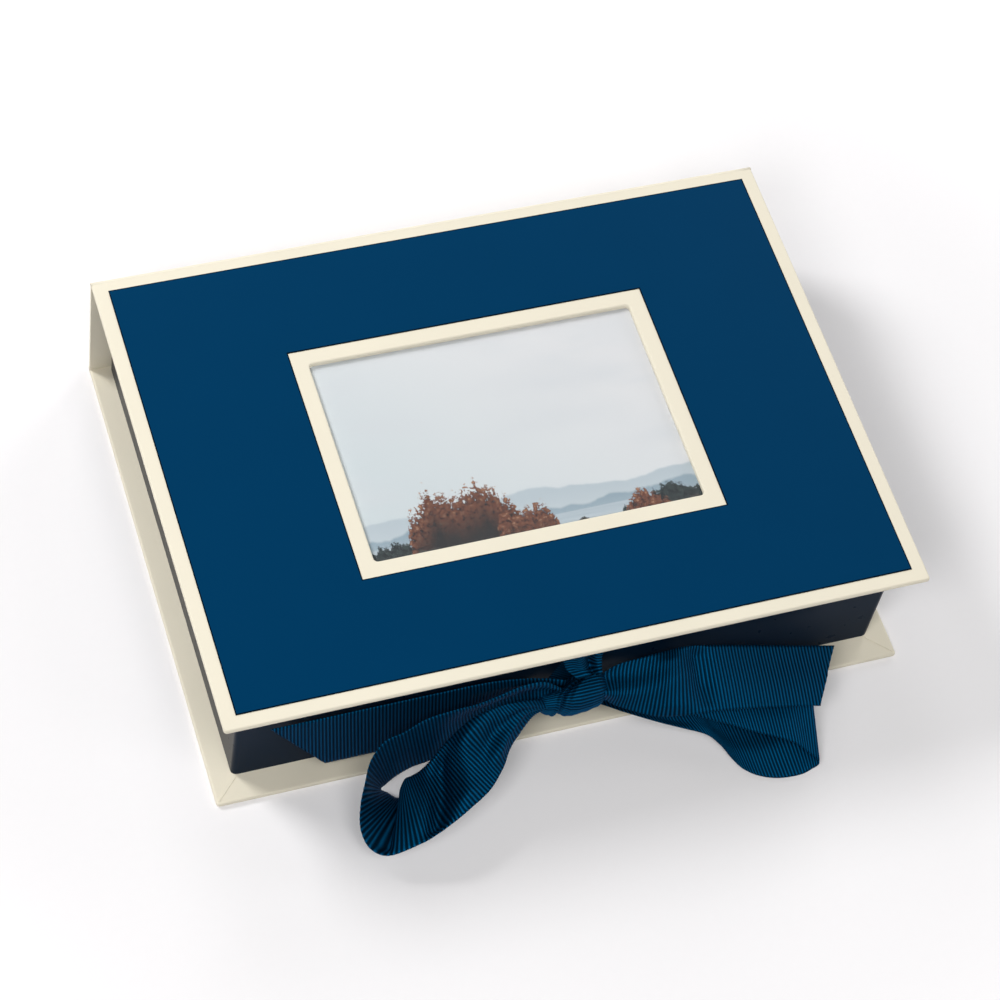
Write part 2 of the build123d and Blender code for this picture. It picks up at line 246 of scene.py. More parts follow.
class Finish:
    """A material and the means to add its nodes."""

    def __init__(self, name):
        self.material = bpy.data.materials.new(name)
        self.material.use_nodes = True
        self.nodes = self.material.node_tree.nodes
        self.links = self.material.node_tree.links
        self.body = self.nodes["Principled BSDF"]

    def link(self, source, target):
        self.links.new(source, target)

    def set(self, **values):
        """Sets the shader's own inputs, named with _ for each space."""
        for label, value in values.items():
            self.body.inputs[label.replace("_", " ")].default_value = value

    def place(self, kind="Object"):
        """Coordinates of a kind: Object, UV or Normal."""
        return self.nodes.new("ShaderNodeTexCoord").outputs[kind]

    def parts(self, vector):
        """The X, Y and Z of a vector."""
        node = self.nodes.new("ShaderNodeSeparateXYZ")
        self.link(vector, node.inputs["Vector"])
        return node.outputs

    def stretch(self, source, scale):
        mapping = self.nodes.new("ShaderNodeMapping")
        mapping.inputs["Scale"].default_value = scale
        self.link(source, mapping.inputs["Vector"])
        return mapping.outputs["Vector"]

    def noise(self, source, scale, detail=3.0, roughness=0.5):
        node = self.nodes.new("ShaderNodeTexNoise")
        node.inputs["Scale"].default_value = scale
        node.inputs["Detail"].default_value = detail
        node.inputs["Roughness"].default_value = roughness
        self.link(source, node.inputs["Vector"])
        return node.outputs["Fac"]

    def math(self, operation, a, b):
        node = self.nodes.new("ShaderNodeMath")
        node.operation = operation
        for socket, value in zip(node.inputs, (a, b)):
            if isinstance(value, (int, float)):
                socket.default_value = value
            else:
                self.link(value, socket)
        return node.outputs["Value"]

    def step(self, value, low, high):
        """Smooth step from 0 at low to 1 at high."""
        node = self.nodes.new("ShaderNodeMapRange")
        node.interpolation_type = "SMOOTHSTEP"
        self.link(value, node.inputs["Value"])
        node.inputs["From Min"].default_value = low
        node.inputs["From Max"].default_value = high
        return node.outputs["Result"]

    def span(self, value, low, high):
        """Stretches 0..1 to low..high."""
        node = self.nodes.new("ShaderNodeMapRange")
        self.link(value, node.inputs["Value"])
        node.inputs["To Min"].default_value = low
        node.inputs["To Max"].default_value = high
        return node.outputs["Result"]

    def blend(self, factor, a, b):
        """Colour from a at factor 0 to b at factor 1."""
        node = self.nodes.new("ShaderNodeMix")
        node.data_type = "RGBA"
        factor_in, a_in, b_in = node.inputs[0], node.inputs[6], node.inputs[7]
        for socket, value in ((factor_in, factor), (a_in, a), (b_in, b)):
            if isinstance(value, (int, float)):
                socket.default_value = value
            elif isinstance(value, (tuple, list)):
                socket.default_value = (*value, 1.0)
            else:
                self.link(value, socket)
        return node.outputs[2]

    def bump(self, height, strength, depth, under=None):
        node = self.nodes.new("ShaderNodeBump")
        node.inputs["Strength"].default_value = strength
        node.inputs["Distance"].default_value = depth
        self.link(height, node.inputs["Height"])
        if under is not None:
            self.link(under, node.inputs["Normal"])
        return node.outputs["Normal"]

    def colour(self, value):
        self.link(value, self.body.inputs["Base Color"])

    def normal(self, value):
        self.link(value, self.body.inputs["Normal"])

    def roughness(self, value):
        self.link(value, self.body.inputs["Roughness"])


def shade(colour, amount):
    """The colour, darker or lighter."""
    return tuple(channel * amount for channel in colour)


def paper_finish(name, colour, gleam, roughness, fibre=0.25, tint=WHITE, **more):
    """Smooth paper: faint clouds in its colour, fine fibres and a slightly uneven gloss."""
    finish = Finish(name)
    place = finish.place()
    clouds = finish.noise(place, 38.0, 3.0)
    fibres = finish.noise(finish.stretch(place, (1.0, 0.35, 1.0)), 2600.0, 4.0, 0.65)
    tone = finish.blend(clouds, shade(colour, 0.955), shade(colour, 1.02))
    tone = finish.blend(finish.span(fibres, 0.0, 0.10), tone, shade(colour, 0.86))
    finish.colour(tone)
    uneven = finish.noise(place, 210.0)
    finish.roughness(finish.span(uneven, roughness - 0.015, roughness + 0.015))
    tooth = finish.bump(fibres, fibre, 0.00004)
    waves = finish.noise(place, 16.0, 1.0)
    finish.normal(finish.bump(waves, 0.10, 0.0008, tooth))
    finish.set(Specular_IOR_Level=gleam, Specular_Tint=(*tint, 1.0), **more)
    return finish.material


def greyboard_finish(name, colour):
    """Pressed grey pulp with dark and light flecks."""
    finish = Finish(name)
    place = finish.place()
    pulp = finish.noise(place, 900.0, 6.0, 0.7)
    flecks = finish.step(finish.noise(place, 2400.0, 2.0), 0.62, 0.70)
    tone = finish.blend(pulp, shade(colour, 0.8), shade(colour, 1.18))
    flecks = finish.math("MULTIPLY", flecks, 0.5)
    finish.colour(finish.blend(flecks, tone, shade(colour, 0.35)))
    finish.normal(finish.bump(pulp, 0.5, 0.00008))
    finish.set(Roughness=0.92)
    return finish.material


def ribbon_finish(name, colour, pitch):
    """Grosgrain: rounded cross ribs with a painted highlight on their crowns and painted shade
    between them, besides the shader's own soft gleam, and fine warp threads.
    """
    finish = Finish(name)
    warp_pitch = 0.32 * MM
    band = finish.place("UV")
    parts = finish.parts(band)
    turn = finish.math("MULTIPLY", parts["X"], 2.0 * math.pi / pitch)
    wave = finish.math("COSINE", turn, 0.0)
    # Mask of painted light along each rib: 1 on its crown, 0 between the ribs.
    rib_highlight_and_shade = finish.math("ADD", finish.math("MULTIPLY", wave, 0.5), 0.5)
    rib_highlight_and_shade = finish.math("POWER", rib_highlight_and_shade, 2.0)
    turn = finish.math("MULTIPLY", parts["Y"], 2.0 * math.pi / warp_pitch)
    warp = finish.math("SINE", turn, 0.0)
    wear = finish.noise(finish.stretch(band, (60.0, 240.0, 1.0)), 1.0, 3.0)
    # Painted highlight and painted shade: the base colour goes from a tenth of the ribbon colour
    # between the ribs to 2.3 times it on each rib's crown.
    tone = finish.blend(rib_highlight_and_shade, shade(colour, 0.10), shade(colour, 2.3))
    tone = finish.blend(finish.math("MULTIPLY", wear, 0.35), tone, shade(colour, 0.7))
    finish.colour(tone)
    finish.normal(finish.bump(warp, 0.22, 0.00004))
    finish.set(Roughness=0.44, Metallic=0.45)
    finish.set(Specular_IOR_Level=0.08, Specular_Tint=(0.05, 0.5, 0.9, 1.0))
    return finish.material


def film_finish(name):
    """Clear sheet that only tints and gleams a little."""
    finish = Finish(name)
    place = finish.place()
    haze = finish.noise(place, 30.0, 2.0)
    finish.colour(finish.blend(haze, (0.20, 0.24, 0.27), (0.30, 0.33, 0.36)))
    finish.roughness(finish.span(haze, 0.03, 0.08))
    finish.set(Specular_IOR_Level=0.5, Alpha=0.05)
    return finish.material


def print_finish(name, low, high):
    """Glossy print of a misty lake: pale sky, hazy hills, water and stands of autumn trees."""
    finish = Finish(name)
    parts = finish.parts(finish.place())
    wide, deep = high[0] - low[0], high[1] - low[1]
    along = finish.math("DIVIDE", finish.math("SUBTRACT", parts["X"], low[0]), wide)
    up = finish.math("DIVIDE", finish.math("SUBTRACT", parts["Y"], low[1]), deep)
    flat = finish.nodes.new("ShaderNodeCombineXYZ")
    finish.link(along, flat.inputs["X"])
    finish.link(up, flat.inputs["Y"])
    picture = flat.outputs["Vector"]
    clouds = finish.noise(finish.stretch(picture, (1.3, 3.0, 1.0)), 1.5, 4.0, 0.5)
    rightward, upward = finish.math("MULTIPLY", along, 0.6), finish.math("MULTIPLY", up, 0.45)
    lean = finish.step(finish.math("ADD", rightward, upward), 0.0, 0.95)
    sky = finish.blend(lean, (0.67, 0.75, 0.775), (0.86, 0.86, 0.87))
    cloudy = finish.math("MULTIPLY", finish.step(clouds, 0.42, 0.7), 0.5)
    sky = finish.blend(cloudy, sky, (0.73, 0.76, 0.79))

    def skyline(wave, seed, detail, roughness):
        """Noise that changes only along the picture; each seed gives another line."""
        line = finish.noise(finish.stretch(picture, (wave, 0.0, 0.0)), 1.0, detail, roughness)
        line.node.noise_dimensions = "4D"
        line.node.inputs["W"].default_value = seed
        return line

    def ridge(under, tone, haze, height, swell, wave, seed):
        """Hills over what is under them, hazy at their foot."""
        line = skyline(wave, seed, 6.0, 0.55)
        top = finish.span(line, height - swell, height + swell)
        cover = finish.step(finish.math("SUBTRACT", top, up), -0.006, 0.01)
        fog = finish.blend(finish.step(up, 0.0, height), haze, tone)
        return finish.blend(cover, under, fog)

    scene = ridge(sky, (0.54, 0.62, 0.67), (0.66, 0.72, 0.75), 0.20, 0.12, 3.1, 2.0)
    scene = ridge(scene, (0.33, 0.43, 0.50), (0.50, 0.58, 0.63), 0.125, 0.10, 4.3, 7.3)
    ripples = finish.noise(finish.stretch(picture, (5.0, 90.0, 1.0)), 1.0, 3.0)
    water = finish.blend(ripples, (0.40, 0.49, 0.55), (0.58, 0.65, 0.70))
    shore = finish.step(finish.math("SUBTRACT", 0.085, up), -0.003, 0.003)
    scene = finish.blend(shore, scene, water)

    leaves = finish.noise(finish.stretch(picture, (70.0, 44.0, 1.0)), 1.0, 5.0, 0.72)
    dark_rust, red_rust = (0.010, 0.005, 0.004), (0.16, 0.050, 0.022)
    rust = finish.blend(finish.step(leaves, 0.38, 0.52), dark_rust, red_rust)
    rust = finish.blend(finish.step(leaves, 0.54, 0.68), rust, (0.52, 0.27, 0.15))
    dark_pine, light_pine = (0.004, 0.007, 0.008), (0.030, 0.045, 0.042)
    pine = finish.blend(finish.step(leaves, 0.40, 0.62), dark_pine, light_pine)

    def wood(under, ink, middle, half, height, wave, seed, ragged):
        """Stand of trees over what is under it, high in its middle and dark at its foot."""
        aside = finish.math("DIVIDE", finish.math("SUBTRACT", along, middle), half)
        dome = finish.math("SUBTRACT", 1.0, finish.math("MULTIPLY", aside, aside))
        crowns = skyline(wave, seed, 4.0, 0.6)
        dome_line = finish.math("POWER", finish.math("MAXIMUM", dome, 0.0), 0.4)
        top = finish.math("MULTIPLY", dome_line, height)
        top = finish.math("MULTIPLY", top, finish.span(crowns, 0.15, 1.75))
        fringe = finish.math("MULTIPLY", finish.math("SUBTRACT", leaves, 0.5), ragged)
        inside = finish.math("SUBTRACT", finish.math("ADD", top, fringe), up)
        inside = finish.math("MULTIPLY", inside, finish.step(dome, 0.0, 0.15))
        foot = finish.blend(finish.step(inside, 0.05, 0.22), ink, (0.012, 0.009, 0.008))
        return finish.blend(finish.step(inside, 0.0, 0.012), under, foot)

    scene = wood(scene, pine, 0.06, 0.16, 0.10, 16.0, 1.0, 0.12)
    scene = wood(scene, pine, 0.90, 0.17, 0.12, 15.0, 4.0, 0.12)
    scene = wood(scene, rust, 0.30, 0.17, 0.31, 8.5, 3.0, 0.34)
    scene = wood(scene, rust, 0.47, 0.09, 0.17, 9.0, 8.0, 0.26)
    scene = wood(scene, rust, 0.82, 0.07, 0.11, 12.0, 6.0, 0.20)
    rocks = finish.noise(finish.stretch(picture, (9.0, 0.0, 0.0)), 1.0, 5.0, 0.6)
    bank = finish.math("SUBTRACT", finish.span(rocks, -0.05, 0.11), up)
    stones = finish.blend(leaves, (0.012, 0.014, 0.013), (0.09, 0.08, 0.07))
    scene = finish.blend(finish.step(bank, -0.003, 0.004), scene, stones)
    grain = finish.noise(picture, 900.0, 2.0)
    scene = finish.blend(finish.math("MULTIPLY", grain, 0.06), scene, (0.35, 0.36, 0.38))
    front = finish.step(finish.parts(finish.place("Normal"))["Z"], 0.4, 0.6)
    back = finish.blend(grain, (0.80, 0.80, 0.79), (0.84, 0.84, 0.83))
    finish.colour(finish.blend(front, back, scene))
    finish.set(Roughness=0.22, Specular_IOR_Level=0.15, Coat_Weight=0.10, Coat_Roughness=0.06)
    return finish.material


def floor_finish(name, colour):
    """Matt pale table top. It has a faint glow for the camera, which grows away from the box, so
    that it shows white outside the shadow."""
    finish = Finish(name)
    place = finish.place()
    grain = finish.noise(place, 300.0, 3.0)
    finish.colour(finish.blend(grain, shade(colour, 0.99), shade(colour, 1.01)))
    finish.set(Roughness=0.95, Specular_IOR_Level=0.0, Emission_Color=(*WHITE, 1.0))
    path = finish.nodes.new("ShaderNodeLightPath").outputs
    seen = finish.math("MAXIMUM", path["Is Camera Ray"], path["Is Transmission Ray"])
    seen = finish.math("MAXIMUM", seen, path["Is Glossy Ray"])
    away = finish.nodes.new("ShaderNodeVectorMath")
    away.operation = "LENGTH"
    finish.link(place, away.inputs[0])
    glow = finish.span(finish.step(away.outputs["Value"], 0.2, 0.6), 0.125, 1.0)
    finish.link(finish.math("MULTIPLY", seen, glow), finish.body.inputs["Emission Strength"])
    return finish.material


def dress(node, material):
    """Gives a node its material."""
    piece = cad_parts[node]
    piece.data.materials.clear()
    piece.data.materials.append(material)


# ---- ribbon meshes ----


def smooth(points):
    """Even curve through the points, as points."""
    ends = [2 * points[0] - points[1]] + points + [2 * points[-1] - points[-2]]
    curve = []
    for i in range(1, len(ends) - 2):
        p0, p1, p2, p3 = ends[i - 1 : i + 3]
        for step in range(CURVE_STEPS):
            t = step / CURVE_STEPS
            bend = 2 * p0 - 5 * p1 + 4 * p2 - p3
            twist = 3 * p1 - p0 - 3 * p2 + p3
            curve.append(p1 + (p2 - p0) * (t / 2) + bend * (t * t / 2) + twist * (t**3 / 2))
    curve.append(points[-1])
    return curve


def ribbon_point(along, out, up):
    """Point of the ribbon in metres, by its distance out from the tray's front."""
    return Vector((along * MM, tray_front - out * MM, up * MM))


def even_rows(first, second, spacing):
    """Pairs of edge points at even steps along the ribbon's middle, and the ribbon's length."""
    middles = [(a + b) / 2 for a, b in zip(first, second)]
    marks = [0.0]
    for a, b in zip(middles, middles[1:]):
        marks.append(marks[-1] + (b - a).length)
    length = marks[-1]
    count = max(int(length / spacing), 8)
    rows = []
    k = 0
    for i in range(count + 1):
        mark = length * i / count
        while k < len(marks) - 2 and marks[k + 1] < mark:
            k += 1
        t = (mark - marks[k]) / max(marks[k + 1] - marks[k], 1e-9)
        rows.append((first[k].lerp(first[k + 1], t), second[k].lerp(second[k + 1], t), mark))
    return rows, length


def fold_rise(folds, mark, side):
    """How far the folds lift a place of the ribbon. A fold is a line from one place to another
    (along, across, along, across), its height and its half width, all in millimetres."""
    lift = 0.0
    for u0, v0, u1, v1, height, reach in folds:
        du, dv = u1 - u0, v1 - v0
        size = math.hypot(du, dv)
        t = ((mark - u0) * du + (side - v0) * dv) / size**2
        beyond = max(0.0, -t, t - 1.0) * size
        aside = abs((mark - u0) * dv - (side - v0) * du) / size
        lift += height * math.exp(-((aside / reach) ** 2) - (beyond / (2 * reach)) ** 2)
    return lift * MM


def ribbon_piece(name, stations, settings, pleats=2.0, folds=(), cut=0.0):
    """Mesh of a ribbon with real ribs. Where it is gathered, its spare width goes into pleats.
    A cut is the slant of its far end: how much shorter the second edge is than the first."""
    first = smooth([ribbon_point(*pair[0]) for pair in stations])
    second = smooth([ribbon_point(*pair[1]) for pair in stations])
    rows, length = even_rows(first, second, settings.rib_pitch / settings.rows_per_rib)
    columns = settings.columns
    verts, uvs = [], []
    last = len(rows) - 1
    for i, (a, b, mark) in enumerate(rows):
        before, after = rows[max(i - LOOK_ROWS, 0)], rows[min(i + LOOK_ROWS, last)]
        along = after[0] + after[1] - before[0] - before[1]
        across = b - a
        chord = across.length
        rise = along.cross(across).normalized()
        spare = max(1.0 - chord / settings.width, 0.0)
        pleat = min(2.2 * spare, 1.0) * PLEAT_DEPTH
        rib = settings.rib_height * math.cos(2 * math.pi * mark / settings.rib_pitch)
        if not PLAIN_ROWS < i < last - PLAIN_ROWS:
            rib = 0.0
        half = settings.thickness / 2
        row_top, row_low = [], []
        for j in range(columns + 1):
            v = j / columns
            edge = min(v, 1 - v) * settings.width
            hem = min(edge / HEM, 1.0)
            shift = pleat * math.sin(2 * math.pi * pleats * v + 0.6)
            lift = fold_rise(folds, mark / MM, v * settings.width / MM)
            shift += lift * min(edge / HEM_CALM, 1.0)
            centre = a.lerp(b, v) + rise * shift
            thick = half * (0.6 + 0.4 * hem) + max(rib, -0.6 * half) * (0.35 + 0.65 * hem)
            row_top.append(centre + rise * thick)
            row_low.append(centre - rise * thick)
        verts += row_top + row_low
        uvs.append(mark)
    stride = 2 * (columns + 1)
    if cut:
        for j in range(columns + 1):
            limit = length - cut * j / columns
            near = max(i for i, mark in enumerate(uvs) if mark <= limit)
            for side in (j, j + columns + 1):
                for i in range(near + 1, last + 1):
                    verts[i * stride + side] = verts[near * stride + side]
    faces, coords = [], []
    for i in range(last):
        for j in range(columns):
            top = i * stride + j
            low = top + columns + 1
            u0, u1 = uvs[i], uvs[i + 1]
            v0, v1 = j / columns * settings.width, (j + 1) / columns * settings.width
            faces.append((top, top + 1, top + stride + 1, top + stride))
            coords += [(u0, v0), (u0, v1), (u1, v1), (u1, v0)]
            faces.append((low + 1, low, low + stride, low + stride + 1))
            coords += [(u0, v1), (u0, v0), (u1, v0), (u1, v1)]
        for j, flip in ((0, False), (columns, True)):
            top = i * stride + j
            low = top + columns + 1
            side = (top, top + stride, low + stride, low)
            v = j / columns * settings.width
            side_uv = [(uvs[i], v), (uvs[i + 1], v), (uvs[i + 1], v), (uvs[i], v)]
            faces.append(side[::-1] if flip else side)
            coords += side_uv[::-1] if flip else side_uv
    for i, flip in ((0, False), (last, True)):
        for j in range(columns):
            top = i * stride + j
            low = top + columns + 1
            end = (top, low, low + 1, top + 1)
            faces.append(end[::-1] if flip else end)
            coords += [(uvs[i], j / columns * settings.width)] * 4
    return mesh_piece(name, verts, faces, coords), length


def mesh_piece(name, verts, faces, coords=None):
    """New object from points and faces, smooth shaded, with its map along the ribbon."""
    mesh = bpy.data.meshes.new(name)
    mesh.from_pydata([tuple(v) for v in verts], [], faces)
    if coords is not None:
        layer = mesh.uv_layers.new(name="ribbon")
        for loop, pair in zip(layer.data, coords):
            loop.uv = pair
    mesh.shade_smooth()
    mesh.validate()
    mesh.update()
    piece = bpy.data.objects.new(name, mesh)
    bpy.context.scene.collection.objects.link(piece)
    return piece


def finish_ribbon(piece, node, body):
    """Material and body of a ribbon piece; hides the solid it stands in for."""
    piece.data.materials.append(bpy.data.materials["ribbon"])
    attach(piece, body)
    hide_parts(node)


# ---- operators ----


class PHOTOBOX_OT_papers(bpy.types.Operator):
    """Cover papers, linings, boards and card of the case, the tray and the lid"""

    bl_idname = "photobox.papers"
    bl_label = "Papers and Boards"

    def execute(self, context):
        papers = context.scene.photobox_papers
        cream = paper_finish("cream cover paper", tuple(papers.cream), 0.30, 0.58)
        lining = paper_finish("cream lining paper", shade(papers.cream, 0.96), 0.22, 0.70)
        # The sheet's edges get the panel colour at 7 %: a painted shade line along the outline and
        # round the hole.
        navy, painted_edge_shade = tuple(papers.panel), shade(papers.panel, 0.07)
        paper_finish("navy panel paper", navy, 0.06, 0.45, 0.12, (0.0, 0.4, 0.85))
        paper_finish("navy panel edge", painted_edge_shade, 0.05, 0.60, 0.12, (0.0, 0.4, 0.85))
        wrap = paper_finish(
            "navy tray wrap",
            tuple(papers.wrap),
            gleam=0.04,
            roughness=0.28,
            fibre=0.05,
            tint=(0.2, 0.5, 0.9),
            Sheen_Weight=0.15,
            Sheen_Roughness=0.25,
            Sheen_Tint=(0.88, 0.72, 0.58, 1.0),
        )
        card = paper_finish("pocket card", shade(papers.cream, 0.92), 0.20, 0.80, 0.5)
        board = greyboard_finish("greyboard", tuple(papers.board))
        covers = "base_cover_paper base_fold_paper spine_cover_paper lid_cover_paper"
        for node in covers.split():
            dress(node, cream)
        for node in "base_lining spine_lining lid_lining tray_floor_lining".split():
            dress(node, lining)
        dress("tray_wrap_paper", wrap)
        dress("pocket_card", card)
        dress("pocket_spacer", card)
        boards = "base_board spine_board lid_board tray_floor"
        walls = "tray_front_wall tray_back_wall tray_left_wall tray_right_wall"
        for node in (boards + " " + walls).split():
            dress(node, board)
        return {"FINISHED"}


class PHOTOBOX_OT_panel_sheet(bpy.types.Operator):
    """Navy sheet on the lid, square at the corners, with its rolled edge painted dark as edge
    shade, and the window's hole
    """

    bl_idname = "photobox.panel_sheet"
    bl_label = "Panel Sheet"

    def execute(self, context):
        low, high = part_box("lid_panel")
        points = [vertex.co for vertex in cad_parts["lid_panel"].data.vertices]
        inner = [
            p
            for p in points
            if low.x + MM < p.x < high.x - MM and low.y + MM < p.y < high.y - MM
        ]
        hole_low = min(p.x for p in inner), min(p.y for p in inner)
        hole_high = max(p.x for p in inner), max(p.y for p in inner)
        levels = ((low.z, 0.0), (high.z - PANEL_ROLL, 0.0), (high.z, PANEL_RIM))
        verts, faces = [], []
        for z, inset in levels:
            for a, b, sign in ((low, high, 1), (hole_low, hole_high, -1)):
                left, right = a[0] + sign * inset, b[0] - sign * inset
                front, back = a[1] + sign * inset, b[1] - sign * inset
                verts += [(left, front, z), (right, front, z), (right, back, z), (left, back, z)]
        for level in (0, 1):
            near, far = 8 * level, 8 * level + 8
            for k in range(4):
                n = (k + 1) % 4
                faces.append((near + k, near + n, far + n, far + k))
                faces.append((near + 4 + n, near + 4 + k, far + 4 + k, far + 4 + n))
        for base, turned in ((0, True), (16, False)):
            for k in range(4):
                n = (k + 1) % 4
                face = (base + k, base + n, base + 4 + n, base + 4 + k)
                faces.append(face[::-1] if turned else face)
        piece = mesh_piece("panel_sheet", verts, faces)
        piece.data.shade_flat()
        piece.data.materials.append(bpy.data.materials["navy panel paper"])
        piece.data.materials.append(bpy.data.materials["navy panel edge"])
        # The side and rolled-edge faces take the nearly black material: painted edge shade.
        sides = 16
        for face in piece.data.polygons[:sides]:
            face.material_index = 1
        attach(piece, "lid")
        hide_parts("lid_panel")
        return {"FINISHED"}


class PHOTOBOX_OT_window(bpy.types.Operator):
    """Clear sheet and the print in the lid's window"""

    bl_idname = "photobox.window"
    bl_label = "Window and Print"

    def execute(self, context):
        dress("window_film", film_finish("clear sheet"))
        low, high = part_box("photo_print")
        dress("photo_print", print_finish("misty lake print", low, high))
        return {"FINISHED"}


class PHOTOBOX_OT_turn_ins(bpy.types.Operator):
    """Mitred laps where the cover paper is folded over at the base's and the lid's front corners"""

    bl_idname = "photobox.turn_ins"
    bl_label = "Mitred Laps"

    def execute(self, context):
        for node, body, face, sign, reach in (
            ("base_cover_paper", "case", 1, 1, 9.8 * MM),
            ("lid_cover_paper", "lid", 0, -1, 14.6 * MM),
        ):
            low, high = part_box(node)
            height = (low, high)[face][2]
            for side, tag in ((-1, "left"), (1, "right")):
                corner = Vector((side * high[0], low[1], height))
                inward = Vector((-side, 1.0, 0.0))
                sideways = Vector((side, 1.0, 0.0)).normalized()
                start = corner + inward * LAP_START
                end = corner + inward * reach
                outline = [
                    start,
                    end,
                    end + sideways * LAP_WIDTHS[1],
                    start + sideways * LAP_WIDTHS[0],
                ]
                lift = Vector((0.0, 0.0, sign * LAP_LIFT))
                verts = outline + [point + lift for point in outline]
                faces = [(3, 2, 1, 0), (4, 5, 6, 7)]
                faces += [(k, (k + 1) % 4, 4 + (k + 1) % 4, 4 + k) for k in range(4)]
                name = f"{body}_mitre_lap_{tag}"
                lap = mesh_piece(name, verts, faces)
                lap.data.shade_flat()
                lap.data.materials.append(bpy.data.materials["cream cover paper"])
                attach(lap, body)
        return {"FINISHED"}


class PHOTOBOX_OT_hinge(bpy.types.Operator):
    """Cover paper and lining that bend round the lid's back corner"""

    bl_idname = "photobox.hinge"
    bl_label = "Paper Hinge"

    def execute(self, context):
        for node, finish in (
            ("hinge_paper", "cream cover paper"),
            ("hinge_liner", "cream lining paper"),
        ):
            low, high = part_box(node)
            outer = high[1] - low[1]
            inner = outer - HINGE_PAPER
            turns, lengths = HINGE_TURNS, HINGE_LENGTHS
            verts, faces = [], []
            for i in range(turns + 1):
                angle = math.pi / 2 * i / turns
                for radius in (outer, inner):
                    for j in range(lengths + 1):
                        x = low[0] + (high[0] - low[0]) * j / lengths
                        y = low[1] + radius * math.cos(angle)
                        z = low[2] + radius * math.sin(angle)
                        verts.append((x, y, z))
            row = lengths + 1
            for i in range(turns):
                near, far = i * 2 * row, (i + 1) * 2 * row
                for j in range(lengths):
                    faces.append((near + j, near + j + 1, far + j + 1, far + j))
                    n, f = near + row, far + row
                    faces.append((n + j + 1, n + j, f + j, f + j + 1))
                faces.append((near, far, far + row, near + row))
                end = lengths
                faces.append((near + row + end, far + row + end, far + end, near + end))
            for j in range(lengths):
                faces.append((j + 1, j, row + j, row + j + 1))
                near = turns * 2 * row
                faces.append((near + j, near + j + 1, near + row + j + 1, near + row + j))
            piece = mesh_piece(node + "_bend", verts, faces)
            piece.data.materials.append(bpy.data.materials[finish])
            end = (0.0, low[1], low[2] + outer)
            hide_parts(node)
            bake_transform(piece)
        return {"FINISHED"}


class PHOTOBOX_OT_loops(bpy.types.Operator):
    """The bow's two loops"""

    bl_idname = "photobox.loops"
    bl_label = "Bow Loops"

    def execute(self, context):
        settings = context.scene.photobox_ribbon
        for name, stations, folds in (
            ("left_loop", left_loop, left_loop_folds),
            ("right_loop", right_loop, right_loop_folds),
        ):
            loop, length = ribbon_piece(name, stations, settings, 1.5, folds)
            finish_ribbon(loop, "bow_" + name, "case")
        return {"FINISHED"}


class PHOTOBOX_OT_tails(bpy.types.Operator):
    """The bow's two slant-cut tails"""

    bl_idname = "photobox.tails"
    bl_label = "Bow Tails"

    def execute(self, context):
        settings = context.scene.photobox_ribbon
        for name, stations, folds, cut in (
            ("left_tail", left_tail, left_tail_folds, LEFT_CUT),
            ("right_tail", right_tail, right_tail_folds, RIGHT_CUT),
        ):
            tail, length = ribbon_piece(name, stations, settings, 1.0, folds, cut)
            finish_ribbon(tail, "bow_" + name, "case")
        return {"FINISHED"}


class PHOTOBOX_OT_straps(bpy.types.Operator):
    """Ribbon ends that come out from under the tray and out of the lid"""

    bl_idname = "photobox.straps"
    bl_label = "Ribbon Ends"

    def execute(self, context):
        settings = context.scene.photobox_ribbon
        base, base_length = ribbon_piece("base_strap", base_strap, settings, 0.0)
        lid, lid_length = ribbon_piece("lid_strap", lid_strap, settings, 0.0, lid_strap_folds)
        finish_ribbon(base, "base_ribbon", "case")
        finish_ribbon(lid, "lid_ribbon", "lid")
        return {"FINISHED"}


class PHOTOBOX_OT_knot(bpy.types.Operator):
    """The bow's knot: a ribbon wrapped round the crossing, with a main and a small lobe"""

    bl_idname = "photobox.knot"
    bl_label = "Bow Knot"

    def execute(self, context):
        settings = context.scene.photobox_ribbon
        low, high = (Vector(corner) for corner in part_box("bow_knot"))
        middle = (low + high) / 2
        deep = (high.y - low.y) / 2 - KNOT_ROOM
        tall = (high.z - low.z) / 2 - KNOT_ROOM
        girth = math.pi * (deep + tall)
        ribs = round(girth / settings.rib_pitch)
        around = ribs * settings.rows_per_rib
        columns = KNOT_COLUMNS
        left, right = low.x - KNOT_LOBE, high.x - KNOT_ROOM
        (left_share, left_round), (right_share, right_round) = KNOT_LEFT_ROUND, KNOT_RIGHT_ROUND
        verts, faces, coords = [], [], []
        for j in range(columns + 1):
            t = j / columns
            x = left + (right - left) * t
            for i in range(around):
                angle = 2 * math.pi * i / around
                part = knot_reach(x / MM, angle)
                part *= 1 - right_share * max(0.0, 1 - (right - x) / right_round) ** 2
                part *= 1 - left_share * max(0.0, 1 - (x - left) / left_round) ** 2
                rib = settings.rib_height * math.cos(angle * ribs) * min(1.0, part)
                y = middle.y - (deep * part + rib) * math.cos(angle)
                z = middle.z + (tall * part + rib) * math.sin(angle)
                verts.append((x, y, z))
        for j in range(columns):
            for i in range(around):
                n = (i + 1) % around
                a, b = j * around + i, j * around + n
                faces.append((a, b, b + around, a + around))
                u0, u1 = i / around * girth, (i + 1) / around * girth
                v0, v1 = j / columns * (right - left), (j + 1) / columns * (right - left)
                coords += [(u0, v0), (u1, v0), (u1, v1), (u0, v1)]
        for j, x in ((0, left + KNOT_HOLLOW), (columns, right - KNOT_HOLLOW)):
            hub = len(verts)
            verts.append((x, middle.y, middle.z))
            for i in range(around):
                a, b = j * around + i, j * around + (i + 1) % around
                faces.append((b, hub, a) if j else (a, hub, b))
                coords += [(i / around * girth, 0.0)] * 3
        piece = mesh_piece("knot_wrap", verts, faces, coords)
        piece.data.materials.append(bpy.data.materials["ribbon"])
        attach(piece, "case")
        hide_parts("bow_knot")
        return {"FINISHED"}


